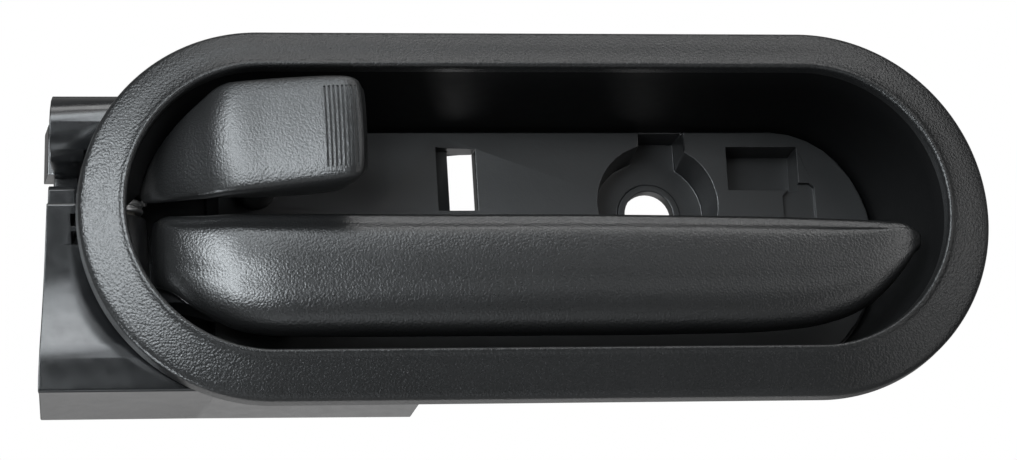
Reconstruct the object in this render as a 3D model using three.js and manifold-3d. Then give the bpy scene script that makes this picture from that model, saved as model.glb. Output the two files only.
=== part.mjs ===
// Inside car door handle: oval bezel and bowl, pull handle and lock knob on one upright hinge pin.
// Millimetres, +Z up. X runs along the door, -Y faces the cabin, +Y goes into the door.
import * as THREE from "three";
import { mergeVertices } from "three/addons/utils/BufferGeometryUtils.js";
import Module from "manifold-3d";

// ---------------------------------------------------------------- driving dimensions
const HALF_LENGTH = 80; // bezel, half of its length along X
const HALF_HEIGHT = 32.8; // bezel, half of its height along Z
const END_RX = 32.2; // bezel end arcs, half-axis along X
const RIM_WIDTH = 8.0; // rim, outer edge to bowl lip, mean
const RIM_SHIFT = 0.7; // rim is narrower by this at the top and wider at the bottom
const FLANGE_BACK = 6; // back edge of the rim, which bears on the door trim
const WALL = 2.0; // bowl wall thickness
const FLOOR_Y = 27; // front face of the bowl floor
const PLATE_FRONT = 28.5; // carrier plate, front
const PLATE_BACK = 31; // carrier plate, back
const BOSS_X = 26.6, BOSS_Z = 9.1; // fixing screw boss
const BOSS_SEAT_Y = 35, BOSS_BACK_Y = 37.2; // counterbore bottom and panel seat
const SCREW_HOLE_R = 4.4;
const HINGE_X = -71, HINGE_Y = 17.6; // upright hinge axis
const PIN_R = 2.0, BUSH_IN = 2.3, BUSH_OUT = 3.1, HUB_BORE = 3.4, HUB_R = 4.6;
const HANDLE_HUB = [-16.5, 3.2], LOCK_HUB = [7.3, 16.2];
const BEZEL_SCREWS = [[-36, 28.9], [40, 28.9], [75.2, -2.5]];
const TOP_EAR = [16.5, 20.6], BOTTOM_EAR = [-20.9, -16.8];

// ---------------------------------------------------------------- solids kit
const wasm = await Module();
wasm.setup();

function solid(geometry) {
  const g0 = geometry.clone();
  g0.deleteAttribute("normal");
  g0.deleteAttribute("uv");
  const g = mergeVertices(g0, 1e-5);
  const index = g.index ? g.index.array : Uint32Array.from({ length: g.attributes.position.count }, (_, i) => i);
  const m = new wasm.Mesh({
    numProp: 3,
    vertProperties: new Float32Array(g.attributes.position.array),
    triVerts: new Uint32Array(index),
  });
  return new wasm.Manifold(m);
}
const add = (...s) => s.reduce((a, b) => a.add(b));
const cut = (a, ...s) => s.reduce((x, y) => x.subtract(y), a);
const meet = (a, b) => a.intersect(b);

function place(geometry, matrix) {
  const g = geometry.clone();
  g.applyMatrix4(matrix);
  return solid(g);
}
function box(x0, x1, y0, y1, z0, z1) {
  const g = new THREE.BoxGeometry(x1 - x0, y1 - y0, z1 - z0);
  return place(g, new THREE.Matrix4().makeTranslation((x0 + x1) / 2, (y0 + y1) / 2, (z0 + z1) / 2));
}
const shapeOf = (pts) => new THREE.Shape(pts.map(([a, b]) => new THREE.Vector2(a, b)));
function basis(xa, ya, za, o) {
  const m = new THREE.Matrix4().makeBasis(new THREE.Vector3(...xa), new THREE.Vector3(...ya), new THREE.Vector3(...za));
  return m.setPosition(...o);
}
// outline in X,Y carried along Z
const slabXY = (pts, z0, z1) =>
  place(new THREE.ExtrudeGeometry(shapeOf(pts), { depth: z1 - z0, bevelEnabled: false, curveSegments: 8 }), basis([1, 0, 0], [0, 1, 0], [0, 0, 1], [0, 0, z0]));
// outline in X,Z carried along Y (front to back)
const slabXZ = (pts, y0, y1) =>
  place(new THREE.ExtrudeGeometry(shapeOf(pts.map(([x, z]) => [-x, z])), { depth: y1 - y0, bevelEnabled: false, curveSegments: 8 }), basis([-1, 0, 0], [0, 0, 1], [0, 1, 0], [0, y0, 0]));
// outline in Y,Z carried along X
const slabYZ = (pts, x0, x1) =>
  place(new THREE.ExtrudeGeometry(shapeOf(pts), { depth: x1 - x0, bevelEnabled: false, curveSegments: 8 }), basis([0, 1, 0], [0, 0, 1], [1, 0, 0], [x0, 0, 0]));
function rod(axis, a, b, r, s0, s1, n = 24, r2 = r) {
  // axis z: a,b = x,y ; axis y: a,b = x,z ; axis x: a,b = y,z
  const g = new THREE.CylinderGeometry(r2, r, s1 - s0, n);
  const mid = (s0 + s1) / 2;
  if (axis === "y") return place(g, new THREE.Matrix4().makeTranslation(a, mid, b));
  if (axis === "z") return place(g, basis([1, 0, 0], [0, 0, 1], [0, -1, 0], [a, b, mid]));
  return place(g, basis([0, -1, 0], [1, 0, 0], [0, 0, 1], [mid, a, b]));
}
// closed rings joined into a tube-like solid, ends capped
function loft(rings) {
  const m = rings[0].length;
  const pos = [], idx = [];
  rings.forEach((r) => r.forEach((p) => pos.push(...p)));
  for (let i = 0; i + 1 < rings.length; i++)
    for (let j = 0; j < m; j++) {
      const a = i * m + j, b = i * m + ((j + 1) % m), c = a + m, d = b + m;
      idx.push(a, b, d, a, d, c);
    }
  const cap = (i, flip) => {
    const c = rings[i].reduce((s, p) => [s[0] + p[0] / m, s[1] + p[1] / m, s[2] + p[2] / m], [0, 0, 0]);
    const k = pos.length / 3;
    pos.push(...c);
    for (let j = 0; j < m; j++) {
      const a = i * m + j, b = i * m + ((j + 1) % m);
      if (flip) idx.push(a, b, k); else idx.push(b, a, k);
    }
  };
  cap(0, false);
  cap(rings.length - 1, true);
  return fromRaw(pos, idx);
}
// rings joined end to start, a closed hoop
function hoop(rings) {
  const n = rings.length, m = rings[0].length;
  const pos = [], idx = [];
  rings.forEach((r) => r.forEach((p) => pos.push(...p)));
  for (let i = 0; i < n; i++)
    for (let j = 0; j < m; j++) {
      const a = i * m + j, b = i * m + ((j + 1) % m), c = ((i + 1) % n) * m + j, d = ((i + 1) % n) * m + ((j + 1) % m);
      idx.push(a, b, d, a, d, c);
    }
  return fromRaw(pos, idx);
}
function fromRaw(pos, idx) {
  const volume = (ix) => {
    let v = 0;
    for (let i = 0; i < ix.length; i += 3) {
      const [a, b, c] = [ix[i], ix[i + 1], ix[i + 2]].map((k) => [pos[3 * k], pos[3 * k + 1], pos[3 * k + 2]]);
      v += a[0] * (b[1] * c[2] - b[2] * c[1]) - a[1] * (b[0] * c[2] - b[2] * c[0]) + a[2] * (b[0] * c[1] - b[1] * c[0]);
    }
    return v;
  };
  if (volume(idx) < 0) for (let i = 0; i < idx.length; i += 3) [idx[i + 1], idx[i + 2]] = [idx[i + 2], idx[i + 1]];
  const g = new THREE.BufferGeometry();
  g.setAttribute("position", new THREE.Float32BufferAttribute(pos, 3));
  g.setIndex(idx);
  return solid(g);
}
function wire(points, r, n = 8, steps = 60, closedCurve = null) {
  const curve = closedCurve || new THREE.CatmullRomCurve3(points.map((p) => new THREE.Vector3(...p)), false, "centripetal");
  const s = new THREE.Shape();
  for (let i = 0; i < n; i++) {
    const a = (2 * Math.PI * (i + 0.5)) / n;
    if (i) s.lineTo(r * Math.cos(a), r * Math.sin(a)); else s.moveTo(r * Math.cos(a), r * Math.sin(a));
  }
  s.closePath();
  return solid(new THREE.ExtrudeGeometry(s, { steps, extrudePath: curve, bevelEnabled: false }));
}
const smooth = (a, b, x) => {
  const t = Math.min(1, Math.max(0, (x - a) / (b - a)));
  return t * t * (3 - 2 * t);
};
const mix = (a, b, t) => a + (b - a) * t;

// ---------------------------------------------------------------- bezel outline
// point and inward normal of the bezel outline; straight runs above and below, elliptic ends
function outline(n) {
  const pts = [];
  const flat = HALF_LENGTH - END_RX;
  const arc = Math.round(n * 0.32), run = Math.round((n - 2 * arc) / 2);
  const put = (x, z, nx, nz) => {
    const l = Math.hypot(nx, nz);
    pts.push({ x, z, nx: -nx / l, nz: -nz / l });
  };
  for (let i = 0; i < arc; i++) {
    const a = -Math.PI / 2 + (Math.PI * i) / arc;
    put(flat + END_RX * Math.cos(a), HALF_HEIGHT * Math.sin(a), Math.cos(a) / END_RX, Math.sin(a) / HALF_HEIGHT);
  }
  for (let i = 0; i < run; i++) put(mix(flat, -flat, i / run), HALF_HEIGHT, 0, 1);
  for (let i = 0; i < arc; i++) {
    const a = Math.PI / 2 + (Math.PI * i) / arc;
    put(-flat + END_RX * Math.cos(a), HALF_HEIGHT * Math.sin(a), Math.cos(a) / END_RX, Math.sin(a) / HALF_HEIGHT);
  }
  for (let i = 0; i < run; i++) put(mix(-flat, flat, i / run), -HALF_HEIGHT, 0, -1);
  return pts;
}
// widths at one place of the outline: rim, wall foot offset and wall depth
function wallAt(p) {
  const nz = -p.nz, nx = -p.nx;
  const rim = RIM_WIDTH - RIM_SHIFT * nz + 0.2 * Math.abs(nx);
  const lean = 2.9 + 2.9 * Math.max(0, nx) ** 2;
  const left = smooth(-52, -60, p.x);
  const up = smooth(2, 9, p.z);
  return {
    rim,
    foot: mix(rim + lean, rim + mix(0.3, 2.7, up), left),
    depth: mix(PLATE_FRONT - 0.3, mix(7.2, 8.6, up), left),
  };
}

// space inside the bowl, from in front of the rim to the floor
function bowlSpace() {
  const at = (k) => outline(76).map((p) => {
    const { rim, foot, depth } = wallAt(p);
    const [o, y] = k === 0 ? [rim + 0.02, 0] : k === 1 ? [rim + 0.02, 2.8] : k === 2 ? [mix(rim, foot, 0.5) + 0.02, mix(2.8, depth, 0.5)] : [foot + 0.02, depth + 0.05];
    return [p.x + p.nx * o, y, p.z + p.nz * o];
  });
  return meet(loft([at(0), at(1), at(2), at(3)]), box(-50, 90, -5, 40, -40, 40));
}

// ---------------------------------------------------------------- bezel
function makeBezel() {
  const rings = outline(76).map((p) => {
    const { rim, foot, depth } = wallAt(p);
    const mid = mix(rim, foot, 0.5);
    const prof = [
      [0, FLANGE_BACK], [0, 3.5], [0.35, 2.7], [1.2, 2.15], [rim - 1.5, 0.35], [rim - 0.8, 0], [rim - 0.2, 0.6], [rim, 2.8],
      [mid, mix(2.8, depth, 0.5)], [foot, depth],
      [foot - WALL, depth], [mid - WALL, mix(2.8, depth, 0.5)], [rim - WALL, 5.0], [rim - WALL - 0.6, 3.0], [2.9, 4.2], [1.8, 4.8], [1.8, FLANGE_BACK],
    ];
    return prof.map(([o, y]) => [p.x + p.nx * o, y, p.z + p.nz * o]);
  });
  let s = hoop(rings);
  // screw bosses behind the rim
    for (const [x, z] of BEZEL_SCREWS) {
    s = add(s, rod("y", x, z, 2.9, 3.5, PLATE_FRONT - 0.3, 16));
    s = cut(s, rod("y", x, z, 1.75, 8, PLATE_FRONT, 12));
  }
  // webs that tie the bosses to the bowl wall
  s = add(s, box(-36.7, -35.3, 6, 27.5, 23.8, 27), box(39.3, 40.7, 6, 27.5, 23.8, 27), box(69.6, 73, 10, 27.5, -3.2, -1.8));
  // inside of the bowl kept smooth where bosses and webs meet the wall
  s = cut(s, bowlSpace());
  // snap hooks that hold the hinge end to the housing
  for (const z of [1.5, -1.7])
    s = add(s, slabXY([[-78.9, 3.4], [-77.3, 3.4], [-77.3, 14.4], [-78.4, 14.4], [-79.3, 13.4], [-78.9, 12.9]], z - 0.75, z + 0.75));
  return s;
}

// ---------------------------------------------------------------- base carrier
// floor plateau: the bowl opening, a little smaller
function bowlOpening(n, inset) {
  return outline(n).map((p) => {
    const { rim } = wallAt(p);
    const o = rim + 2.9 + 2.9 * Math.max(0, -p.nx) ** 2 + inset;
    return [p.x + p.nx * o, p.z + p.nz * o];
  });
}
const clipRight = (pts, x0) => pts.map(([x, z]) => [Math.max(x, x0), z]);
function makeCarrier() {
  const top = 25.2, bottom = -24.6;
  // plate behind the bowl, with tabs for the bezel screws
  const plate = slabXZ(
    [[-57, bottom], [46, bottom], [56, -22.8], [64, -18.6], [69, -12.4], [71, -7.4], [78.4, -6.4], [79.0, 1.4], [71.6, 2.6], [70, 9.4], [65.6, 16], [58, 21.6], [48, 24.6],
     [44.4, 25.2], [44.2, 32.4], [35.8, 32.4], [35.6, 25.2], [-31.6, 25.2], [-31.8, 32.4], [-40.2, 32.4], [-40.4, top], [-57, top]],
    PLATE_FRONT, PLATE_BACK);
  const floor = meet(slabXZ(bowlOpening(60, 0.35), FLOOR_Y, PLATE_FRONT + 0.5), box(-57, 80, 20, 40, -40, 40));
  let s = add(plate, floor);
  // fixing boss
  s = add(s, rod("y", BOSS_X, BOSS_Z, 12.8, PLATE_FRONT, BOSS_BACK_Y, 36));
  s = add(s, box(22.2, 33.6, PLATE_FRONT, BOSS_BACK_Y, 9, 24.4));
  // stepped pocket and window frame behind the floor
  s = add(s, box(37.9, 54.5, PLATE_FRONT, 35.4, 9.7, 21.3));
  s = add(s, box(-14.6, -4.4, PLATE_FRONT, 31.2, 6.4, 20.8));
  // stiffening ribs on the back of the plate
  s = add(s, box(-54, 66, PLATE_BACK - 1, 33.6, -12.6, -11.2), box(-30, -28.6, PLATE_BACK - 1, 33.6, -24, 24), box(8, 9.4, PLATE_BACK - 1, 33.6, -24, 24), box(58, 59.4, PLATE_BACK - 1, 33.6, -19, 20));

  // hinge housing: front sweep, slot and upper barrel, as one section along X
  const sect = [
    [31, -25.6], [28.2, -25.6], [28.2, -29.2], [7.0, -29.8], [6.7, -29.2], [6.6, -27], [6.8, -24], [7.3, -21.4], [8.1, -18.6], [8.9, -15.4], [9.6, -12], [10.2, -8], [10.5, -3], [10.7, 4.2], [11.0, 4.6], [12.6, 4.9], [12.6, 7.4], [13.3, 8.3], [22.4, 8.4], [22.4, 12.6],
    [16.4, 12.6], [14.2, 13.0], [12.2, 14.6], [11.0, 16.8], [10.6, 19.1], [11.0, 21.3], [12.2, 23.3], [14.2, 24.7], [16.4, 25.1], [31, 25.1],
  ];
  let h = slabYZ(sect, -90, -57);
  // left end leans out towards the bottom and in towards the back
  const leaned = (kx, x0, z0, z1) => {
    const g = new THREE.BoxGeometry(60, 50, z1 - z0);
    g.translate(0, 25, (z0 + z1) / 2);
    g.applyMatrix4(new THREE.Matrix4().set(1, kx, 0.0677, x0 + 30 - kx * 9, 0, 1, 0, 0, 0, 0, 1, 0, 0, 0, 0, 1));
    return solid(g);
  };
  h = meet(h, add(leaned(0.205, -84.95, -40, 40), leaned(0.12, -84.95, -40, -27.9)));
  // locating tab on the left end
  h = add(h, slabXZ([[-82.8, 12.4], [-80, 12.4], [-80, 21.5], [-82.3, 21.5]], 20, 26));
  // lower duct along the bottom of the bowl
  h = add(h, slabXY([[-58, 12], [-20, 12], [-20, 28.8], [-58, 28.2]], -29.2, -26.3));
  h = add(h, box(-58, -20.6, 26.4, 31, -28.2, -24));
  s = add(s, h);
  // hinge chamber behind the front wall, open towards the bowl
  const chamber = add(box(-79, -54.5, 12.4, 28.5, -22.6, 9.0), box(-77.2, -54.5, 12.4, 28.5, 8.5, 22.6));
  const mouth = meet(slabXZ(outline(60).map((p) => { const o = wallAt(p).rim - 2.7; return [p.x + p.nx * o, p.z + p.nz * o]; }), 2, 13), box(-90, -54.4, 0, 20, -40, 40));
  s = cut(s, chamber, mouth, box(-57.2, -54.4, 4, 28.5, -24, 24));
  // cored bottom wall of the housing, open at the back
  s = cut(s, box(-79.6, -58, 14.5, 32, -27.2, -24.8));
  // ears that carry the pin
  const ear = (z0, z1) => add(rod("z", HINGE_X, HINGE_Y, 5.0, z0, z1, 24), box(HINGE_X - 5, HINGE_X + 5, HINGE_Y, 29, z0, z1), box(-80, HINGE_X, HINGE_Y - 1, HINGE_Y + 5, z0, z1));
  s = add(s, ear(...TOP_EAR), ear(...BOTTOM_EAR));
  s = cut(s, rod("z", HINGE_X, HINGE_Y, HUB_BORE, -24, 18.9, 24), rod("z", HINGE_X, HINGE_Y, HUB_BORE, 16, 20.0, 24), rod("z", HINGE_X, HINGE_Y, 2.3, 15, 22.4, 24));
  // windows for the cranks in the back wall
  s = cut(s, box(-77.2, -63.2, 27, 34, -13.6, -7.4), box(-73.8, -64.6, 27, 34, 9.2, 13.8));
  // snap windows at the rim side
  s = cut(s, box(-80.2, -76.6, 7, 16.5, 0.4, 2.6), box(-80.2, -76.6, 7, 16.5, -2.8, -0.6));
  // leaf spring screw hole
  s = cut(s, rod("x", 26, 6.0, 1.4, -80.9, -78, 12));
  // conduit holders at the back of the hinge housing
  for (const [z, y] of [[-10.5, 34.2], [11.5, 34.0]]) {
    s = add(s, box(-79.8, -77.4, 30, 37.0, z - 5, z + 5));
    s = cut(s, rod("x", y, z, 2.6, -82, -76, 16), box(-82, -76, y, 40, z - 2.1, z + 2.1));
  }
  // spring leg rib
  s = add(s, box(-74.0, -72.4, 26.2, 29, 3.8, 7.8));
  // stop posts
  s = add(s, rod("y", -43, -11, 4.2, 16.2, FLOOR_Y + 1, 20), rod("y", -46, 12, 4.0, 18.0, FLOOR_Y + 1, 20));
  s = cut(s, rod("y", -43, -11, 1.6, 14, 22, 12), rod("y", -46, 12, 1.6, 14, 23.5, 12));

  // counterbore, neck, hole
  s = cut(s, rod("y", BOSS_X, BOSS_Z, 11.0, FLOOR_Y - 1, BOSS_SEAT_Y, 36, 10.0));
  s = cut(s, box(23.8, 32.0, FLOOR_Y - 1, BOSS_SEAT_Y, 9, 22.4));
  s = add(s, rod("y", BOSS_X, BOSS_Z, 5.7, BOSS_SEAT_Y - 0.6, BOSS_BACK_Y - 0.5, 32));
  s = cut(s, rod("y", BOSS_X, BOSS_Z, SCREW_HOLE_R, 20, 45, 32));
  // stepped pocket
  s = cut(s, box(39.7, 52.7, 20, 33.6, 11.5, 19.5));
  s = cut(s, slabXZ([[49.6, -4], [55.5, -4], [55.5, 12.0], [54.6, 12.8], [52.0, 12.8], [49.6, 10.4]], 20, FLOOR_Y + 1.0));
  // window with a ledge on its hinge side
  s = cut(s, box(-13.1, -5.8, 20, 29.0, 7.8, 19.3), box(-10.7, -5.8, 20, 36, 7.8, 19.3));
  // screw holes for the bezel screws
  for (const [x, z] of BEZEL_SCREWS) s = cut(s, rod("y", x, z, 1.9, 27, 34, 16));
  return s;
}

// ---------------------------------------------------------------- pull handle
// stations along the handle: x, front y, lower z, upper z, crown, side depth
const HANDLE = [
  [-66.5, 14.0, -9.8, 2.3, 0.4, 2.0],
  [-65.8, 11.5, -10.8, 2.6, 0.6, 2.6],
  [-64.4, 9.2, -12.2, 2.4, 0.9, 3.4],
  [-61.8, 6.9, -14.8, 2.1, 1.1, 4.4],
  [-58.0, 4.7, -17.4, 1.7, 1.4, 5.4],
  [-52.0, 3.0, -19.5, 1.3, 1.7, 6.2],
  [-46.0, 2.2, -20.3, 1.1, 1.9, 6.4],
  [-38.0, 1.8, -20.5, 1.0, 1.9, 6.6],
  [-20.0, 1.2, -20.7, 0.7, 2.0, 6.8],
  [10.0, 0.9, -20.8, 0.5, 2.0, 6.8],
  [34.0, 1.1, -20.6, 0.2, 2.0, 6.6],
  [46.0, 1.5, -19.8, 0.0, 1.9, 6.2],
  [53.0, 1.9, -18.2, -0.2, 1.7, 6.0],
  [58.4, 2.3, -15.7, -0.4, 1.4, 5.6],
  [62.6, 2.8, -12.3, -0.6, 1.1, 5.1],
  [65.8, 3.5, -8.9, -1.1, 0.8, 4.5],
  [67.5, 4.5, -6.4, -2.2, 0.5, 3.6],
];
function handleRing([x, y, z0, z1, crown, side], i) {
  const a = HANDLE[Math.max(0, i - 1)], b = HANDLE[Math.min(HANDLE.length - 1, i + 1)];
  const tx = b[0] - a[0], ty = b[1] - a[1], l = Math.hypot(tx, ty);
  const nx = ty / l, ny = -tx / l; // outward, towards the cabin
  const zc = (z0 + z1) / 2, h = (z1 - z0) / 2, r = Math.min(2.6, h * 0.45, side * 0.6);
  const loop = [[-side, -h + 0.7], [-(crown + r * 0.9), -h], [-(crown + r * 0.25), -h + r * 0.28], [-crown, -h + r], [-crown * 0.45, -h * 0.62], [-crown * 0.1, -h * 0.28], [0, h * 0.08], [-crown * 0.12, h * 0.42],
    [-crown * 0.4, h * 0.7], [-crown * 0.9, h - r * 0.75], [-(crown * 0.9 + r * 0.3), h - r * 0.22], [-(crown * 0.9 + r), h], [-side, h - 0.7]];
  return loop.map(([n, z]) => [x + nx * n, y + ny * n, zc + z]);
}
function makePullHandle() {
  let s = loft(HANDLE.map(handleRing));
  // recess for the lever behind the face
  const recess = slabXY([[-60.6, 20], [-60.6, 10.2], [-56, 7.7], [-48, 5.6], [-20, 4.6], [30, 4.6], [50, 5.2], [55, 6], [55, 20]], -17.6, -4.2);
  s = cut(s, meet(recess, slabXZ([[-70, -11.4], [-62, -13.0], [-56, -16.0], [-50, -17.6], [46.2, -17.6], [55, -13.6], [55, -4], [-70, -4]], 0, 30)));
  // blind holes for the two screws from the lever side
  for (const x of [-24, 27]) s = cut(s, rod("y", x, -10.9, 1.5, 2.9, 6, 12));
  return s;
}
function makeLever() {
  // bar behind the face, bending round to the hub
  const plan = [
    [-66.8, 21.2], [-66.6, 17.2], [-64.4, 14.6], [-60.9, 12.2], [-59.8, 10.4], [-55.8, 8.2], [-48, 6.0], [-20, 5.0], [30, 5.0], [50, 5.6], [54.6, 6.4], [54.6, 10.6], [48, 12.0], [20, 12.6], [-20, 12.6],
    [-46, 12.6], [-55, 14.2], [-61, 18.6],
  ];
  let s = slabXY(plan, -17.2, -4.6);
  s = meet(s, slabXZ([[-70, -11.0], [-62, -12.6], [-56, -15.6], [-50, -17.2], [46, -17.2], [54.6, -13.4], [54.6, -4.6], [-62, -4.6], [-70, -4.6]], 0, 30));
  // hollow back with two ribs left standing
  for (const [x0, x1] of [[-50, -30.5], [-28.8, 10], [11.7, 46]]) s = cut(s, box(x0, x1, 7.2, 20, -15.2, -6.6));
  s = add(s, rod("z", HINGE_X, HINGE_Y, HUB_R, ...HANDLE_HUB, 28));
  s = add(s, slabXY([[-71, 13.2], [-66.2, 16.6], [-66.2, 21.4], [-71, 22.0]], -13.0, -4.6));
  // crank for the latch cable, with its end eye
  const crank = slabXY([[-73.6, 18.6], [-69.2, 20], [-71.8, 33.6], [-74.0, 36.2], [-75.9, 34.4], [-75.8, 32.4], [-74.4, 23]], -12.2, -8.8);
  s = add(s, crank, rod("z", -73.8, 34.0, 2.2, -12.2, -8.8, 18));
  s = cut(s, rod("z", -73.8, 34.0, 1.2, -14, -7, 12));
  // fin on the hub that the spring leg bears on
  s = add(s, box(HINGE_X - 6.0, HINGE_X - 3.4, HINGE_Y + 1.6, HINGE_Y + 2.7, -1.6, 3.2));
  s = cut(s, rod("z", HINGE_X, HINGE_Y, HUB_BORE, -18, 4, 28));
  // pad recess at the stop and screw bores from the back
  for (const x of [-24, 27]) s = cut(s, rod("y", x, -10.9, 1.6, 2, 9, 12));
  return s;
}

// ---------------------------------------------------------------- lock knob and lever
// stations: x, front y, lower z, upper z, crown, side depth
const KNOB = [
  [-67.9, 12.0, 4.9, 8.4, 0.2, 1.6],
  [-66.7, 9.6, 4.3, 11.6, 0.3, 1.8],
  [-64.8, 6.9, 3.8, 14.8, 0.5, 2.2],
  [-62.2, 4.2, 3.4, 17.8, 0.7, 2.6],
  [-59.0, 1.5, 3.1, 20.4, 0.8, 3.4],
  [-56.4, -0.6, 3.0, 22.0, 0.9, 4.6],
  [-53.6, -2.0, 3.0, 22.8, 0.8, 6.0],
  [-48.0, -3.4, 3.2, 22.9, 0.7, 7.8],
  [-42.0, -4.9, 3.5, 22.8, 0.6, 9.4],
  [-36.6, -6.2, 3.8, 22.6, 0.6, 10.6],
  [-33.8, -6.6, 4.1, 22.4, 0.6, 11.0],
  [-32.0, -6.2, 4.6, 21.9, 0.6, 10.6],
  [-31.1, -4.9, 5.6, 20.9, 0.5, 9.2],
];
const knobFront = (x) => { const k = KNOB.findIndex((t) => t[0] > x), a = KNOB[k - 1], b = KNOB[k]; return mix(a[1], b[1], (x - a[0]) / (b[0] - a[0])); };
function knobRing([x, y, z0, z1, crown, side], i) {
  const a = KNOB[Math.max(0, i - 1)], b = KNOB[Math.min(KNOB.length - 1, i + 1)];
  const tx = b[0] - a[0], ty = b[1] - a[1], l = Math.hypot(tx, ty);
  // side walls follow the arm near the hub and run straight back, drawn in a little, at the free end
  const w = smooth(-62, -54, x), out = smooth(-46, -33, x);
  let nx = mix(ty / l, mix(-0.1, 0.2, out), w), ny = mix(-tx / l, -1, w);
  const m = Math.hypot(nx, ny); nx /= m; ny /= m;
  const zc = (z0 + z1) / 2, h = (z1 - z0) / 2, r = Math.min(1.6, h * 0.4, side * 0.45);
  const loop = [[-side, -h + 0.4], [-(crown + r), -h], [-(crown + r * 0.28), -h + r * 0.3], [-crown, -h + r], [-crown * 0.3, -h * 0.5], [0, 0], [-crown * 0.3, h * 0.5], [-crown, h - r], [-(crown + r * 0.28), h - r * 0.3], [-(crown + r), h], [-side, h - 0.4]];
  return loop.map(([n, z]) => [x + nx * n, y + ny * n, zc + z]);
}
function makeKnob() {
  let s = loft(KNOB.map(knobRing));
  // cored from behind
  s = cut(s, rod("y", -48, 11.8, 1.2, -2.4, 1, 12));
  s = cut(s, slabXY([[-56.2, 12], [-56.2, 3.2], [-54.6, 1.9], [-49, -0.2], [-42, -2.0], [-37, -3.3], [-35.2, -3.2], [-37.4, 12]], 5.2, 20.6));
  // finger grooves near the free end
  for (let i = 0; i < 8; i++) {
    const x = -38.1 + i * 0.74, y = knobFront(x) + 0.2;
    s = cut(s, slabYZ([[y - 3, 6.2], [y + 0.45, 6.2], [y + 0.16, 8.6], [y, 13.2], [y + 0.16, 17.8], [y + 0.45, 20.2], [y - 3, 20.2]], x - 0.18, x + 0.18));
  }
  return s;
}
function makeLockLever() {
  // web inside the knob, running back to the hub
  let s = slabXY([[-66.8, 21.0], [-66.0, 15.2], [-62.8, 10.8], [-59.8, 7.6], [-57, 4.8], [-53.4, 2.6], [-49, 0.6], [-42, -1.2], [-39, -2.1], [-39, 2.2], [-44, 3.6], [-52, 6.0], [-58, 10.6], [-62.4, 16.4]], 8.4, 15.2);
  s = cut(s, box(-51, -41, -4, 1.2, 8, 10), box(-54, -44, 3.3, 9, 9.8, 13.8), rod("y", -48, 11.8, 1.3, -6, 5, 12));
  s = add(s, rod("z", HINGE_X, HINGE_Y, HUB_R, ...LOCK_HUB, 28));
  s = add(s, slabXY([[-71, 13.6], [-66, 16.0], [-66.4, 21.2], [-71, 22.0]], 8.4, 15.2));
  // detent nose below the hub
  s = add(s, rod("z", HINGE_X - 5.4, HINGE_Y + 0.7, 0.9, 4.6, 8.6, 14), box(HINGE_X - 5.6, HINGE_X - 3.8, HINGE_Y - 0.2, HINGE_Y + 1.5, 7.3, 8.6));
  // crank for the lock cable
  s = add(s, slabXY([[-72.6, 20.6], [-67.6, 20.4], [-64.9, 31.8], [-64.2, 34.0], [-66.4, 36.0], [-68.5, 34.4], [-69.4, 31.6]], 9.8, 13.2), rod("z", -66.4, 33.8, 2.2, 9.8, 13.2, 18));
  s = cut(s, rod("z", -66.4, 33.8, 1.2, 9, 14, 12));
  s = cut(s, rod("z", HINGE_X, HINGE_Y, HUB_BORE, 6, 18, 28));
  return s;
}

// ---------------------------------------------------------------- small parts
function revolve(profile, n = 24) {
  return new THREE.LatheGeometry(profile.map(([r, h]) => new THREE.Vector2(r, h)), n);
}
const uprightAt = (x, y) => basis([1, 0, 0], [0, 0, 1], [0, -1, 0], [x, y, 0]);
const alongY = (x, z) => new THREE.Matrix4().makeTranslation(x, 0, z);
function lathe(profile, matrix, n) {
  const g = revolve(profile, n);
  g.applyMatrix4(matrix);
  return solid2(g);
}
function solid2(g) {
  const g0 = g.clone();
  g0.deleteAttribute("normal");
  g0.deleteAttribute("uv");
  const m = mergeVertices(g0, 1e-4);
  const p = Array.from(m.attributes.position.array), ix = Array.from(m.index.array), keep = [];
  for (let i = 0; i < ix.length; i += 3) if (ix[i] !== ix[i + 1] && ix[i + 1] !== ix[i + 2] && ix[i] !== ix[i + 2]) keep.push(ix[i], ix[i + 1], ix[i + 2]);
  return fromRaw(p, keep);
}
const pin = () => lathe([[0, -23.6], [1.6, -23.6], [PIN_R, -23.1], [PIN_R, 21.0], [3.4, 21.0], [3.4, 21.7], [2.6, 22.3], [0, 22.3]], uprightAt(HINGE_X, HINGE_Y), 24);
const retainer = () => lathe([[2.3, -22.2], [4.6, -22.2], [4.8, -21.8], [4.6, -21.3], [2.3, -21.3], [2.3, -22.2]], uprightAt(HINGE_X, HINGE_Y), 20);
const flangedBush = (z0, z1, flangeAtTop) =>
  lathe(flangeAtTop
    ? [[BUSH_IN, z0], [BUSH_OUT, z0], [BUSH_OUT, z1], [BUSH_IN, z1], [BUSH_IN, z0]]
    : [[BUSH_IN, z0], [BUSH_OUT, z0], [BUSH_OUT, z1], [BUSH_IN, z1], [BUSH_IN, z0]], uprightAt(HINGE_X, HINGE_Y), 24);
const spacer = () => lathe([[BUSH_IN, 3.5], [2.75, 3.5], [2.75, 7.0], [BUSH_IN, 7.0], [BUSH_IN, 3.5]], uprightAt(HINGE_X, HINGE_Y), 24);
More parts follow.
